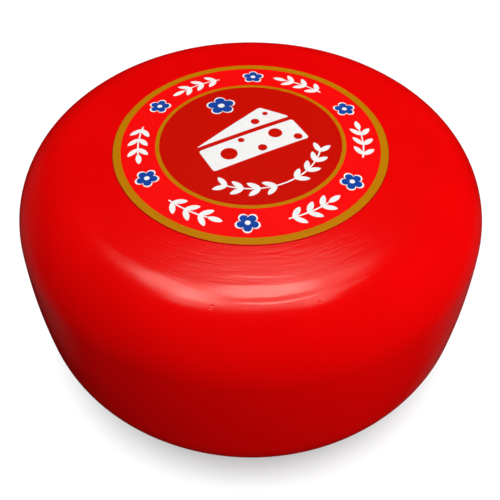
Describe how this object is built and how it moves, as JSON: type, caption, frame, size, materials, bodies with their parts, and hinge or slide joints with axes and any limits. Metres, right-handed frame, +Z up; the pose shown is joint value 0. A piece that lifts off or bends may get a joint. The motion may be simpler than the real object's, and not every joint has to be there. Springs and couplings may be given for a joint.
{
  "type": "waxed cheese wheel",
  "caption": "Squat round wheel of semi-hard cheese in glossy red wax, with a bulging side, well-rounded edges, a slightly domed top and a round gold-ringed paper label.",
  "frame": {"origin": "middle of the flat base that the wheel stands on", "axes": "+Z up through the middle of the label; -Y faces the viewer of the picture, with +X to the right"},
  "size_m": [0.22, 0.22, 0.1183],
  "materials": {
    "red_wax": "smooth satin-gloss food wax with faint brush lines round the top edge",
    "label_paper": "coated paper, printed bright red with gold rings round a darker red middle"
  },
  "bodies": {
    "root": {"cheese_wheel": "red_wax", "label": "label_paper"}
  },
  "joints": []
}
